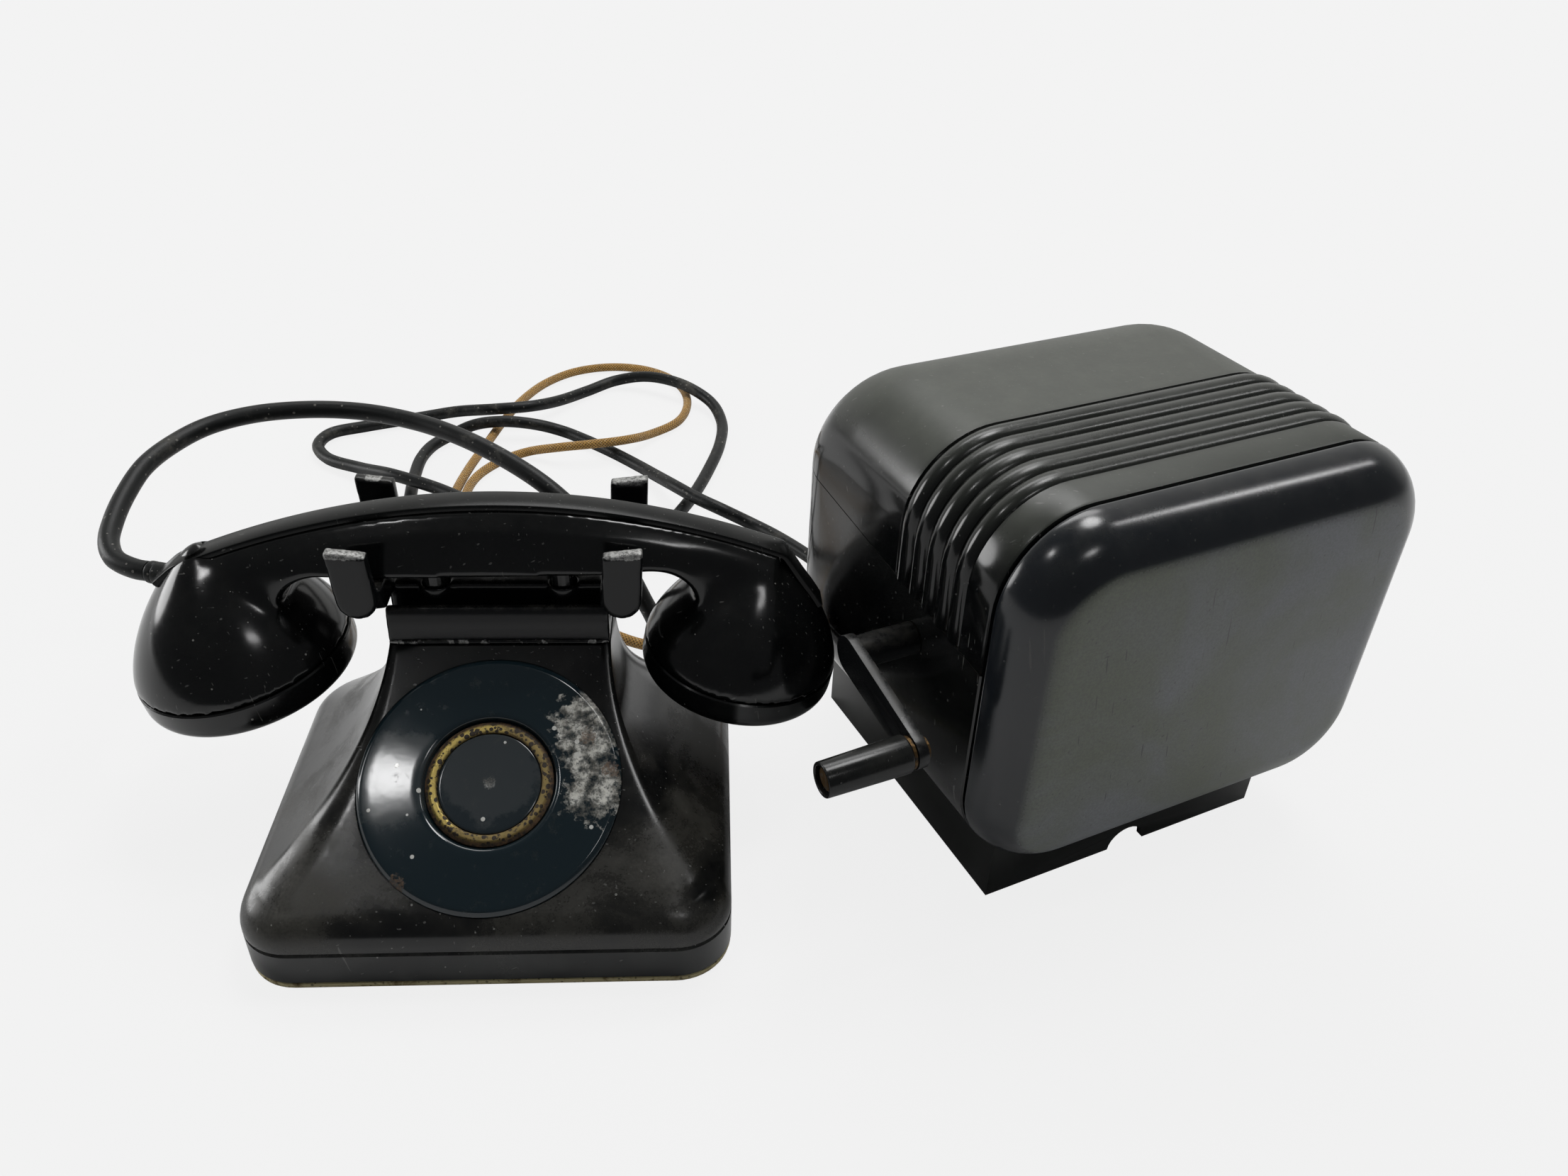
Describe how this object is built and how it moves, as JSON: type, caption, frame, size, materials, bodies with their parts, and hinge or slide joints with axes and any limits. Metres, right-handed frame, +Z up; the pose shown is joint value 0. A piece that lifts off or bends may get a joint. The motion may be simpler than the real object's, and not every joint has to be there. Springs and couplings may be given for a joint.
{
  "type": "field telephone",
  "caption": "Black moulded desk telephone without a dial, wired by loose cords to a magneto box with a hand crank, for calls on a local battery line.",
  "frame": {"origin": "middle of the underside of the telephone's base plate, on the table", "axes": "+Z up, +Y away from the user, +X to the user's right, where the magneto box stands"},
  "size_m": [0.4424, 0.4621, 0.1584],
  "materials": {
    "bakelite": "polished black moulding",
    "painted_metal": "black enamel, worn at the edges",
    "worn_brass": "brown, worn plating",
    "olive_plate": "tarnished olive plate",
    "steel": "plain steel",
    "copper_coil": "varnished copper winding",
    "magnet_red": "painted magnet steel",
    "rubber": "matt dark grey rubber",
    "textile": "braided tan cotton",
    "zinc": "dull zinc",
    "cell_paper": "waxed paper sleeve",
    "fibre": "brown fibre board"
  },
  "bodies": {
    "telephone_and_box": {"base_band": "bakelite", "phone_shell": "bakelite", "box_body": "bakelite", "box_lid": "bakelite", "dial_blank": "painted_metal", "dial_disc": "painted_metal", "cradle": "painted_metal", "box_plinth": "painted_metal", "dial_ring": "worn_brass", "crank_bush": "worn_brass", "generator_plate_left": "worn_brass", "generator_plate_right": "worn_brass", "switch_springs": "worn_brass", "base_plate": "olive_plate", "generator_base": "steel", "cell_tray": "steel", "chassis": "steel", "gong_left": "steel", "gong_right": "steel", "ringer_frame": "steel", "switch_bracket": "steel", "ringer_coil_left": "copper_coil", "ringer_coil_right": "copper_coil", "induction_coil": "copper_coil", "magnet_1": "magnet_red", "magnet_2": "magnet_red", "box_gland_1": "rubber", "box_gland_2": "rubber", "box_gland_3": "rubber", "phone_gland_1": "rubber", "phone_gland_2": "rubber", "phone_gland_3": "rubber", "phone_gland_4": "rubber", "handset_cord": "rubber", "long_cable": "rubber", "short_cable": "rubber", "textile_cord": "textile", "capacitor": "zinc", "dry_cell_front": "cell_paper", "dry_cell_rear": "cell_paper", "terminal_board": "fibre", "terminal_block": "fibre"},
    "handset": {"handset_shell": "bakelite", "handset_strip": "bakelite", "transmitter_cap": "bakelite", "receiver_cap": "bakelite", "transmitter_capsule": "zinc", "receiver_capsule": "zinc", "handset_sleeve": "rubber"},
    "plunger_left": {"hook_plunger_left": "bakelite"},
    "plunger_right": {"hook_plunger_right": "bakelite"},
    "lever": {"switch_lever": "steel"},
    "crank": {"crank_arm": "painted_metal", "drive_gear": "worn_brass", "grip_pin": "steel", "grip_washer": "worn_brass"},
    "grip": {"crank_grip": "bakelite"},
    "generator_rotor": {"armature": "steel"},
    "front_cover": {"box_cover": "bakelite"},
    "striker": {"clapper": "steel"}
  },
  "joints": [
    {"name": "handset_lift", "type": "slide", "parent": "telephone_and_box", "child": "handset", "axis": [0, 0, 1], "range_m": [0, 0.12], "deforming": ["handset_cord"]},
    {"name": "plunger_left_rise", "type": "slide", "parent": "telephone_and_box", "child": "plunger_left", "axis": [0, 0, 1], "range_m": [0, 0.005]},
    {"name": "plunger_right_rise", "type": "slide", "parent": "telephone_and_box", "child": "plunger_right", "axis": [0, 0, 1], "range_m": [0, 0.005]},
    {"name": "lever_rise", "type": "hinge", "parent": "telephone_and_box", "child": "lever", "pos_m": [0, 0.042, 0.0615], "axis": [-1, 0, 0], "range_deg": [0, 23.5]},
    {"name": "crank_turn", "type": "hinge", "parent": "telephone_and_box", "child": "crank", "pos_m": [0.13649, -0.00127, 0.0925], "axis": [0.9212, 0.3891, 0], "range_deg": [-150, 95]},
    {"name": "grip_spin", "type": "hinge", "parent": "crank", "child": "grip", "pos_m": [0.11787, -0.05356, 0.08565], "axis": [0.9212, 0.3891, 0], "continuous": true},
    {"name": "rotor_spin", "type": "hinge", "parent": "telephone_and_box", "child": "generator_rotor", "pos_m": [0.18899, 0.02091, 0.0594], "axis": [0.9212, 0.3891, 0], "range_deg": [-475, 750]},
    {"name": "cover_off", "type": "slide", "parent": "telephone_and_box", "child": "front_cover", "axis": [0.3891, -0.9212, 0], "range_m": [0, 0.06]},
    {"name": "striker_swing", "type": "hinge", "parent": "telephone_and_box", "child": "striker", "pos_m": [0, -0.016, 0.0188], "axis": [0, 0, 1], "range_deg": [-1.4, 1.4]}
  ],
  "couplings": [
    {"joint": "plunger_left_rise", "follows": "handset_lift", "ratio": 0.04},
    {"joint": "plunger_right_rise", "follows": "handset_lift", "ratio": 0.04},
    {"joint": "lever_rise", "follows": "handset_lift", "rad_per_m": 3.4},
    {"joint": "rotor_spin", "follows": "crank_turn", "ratio": -5}
  ]
}
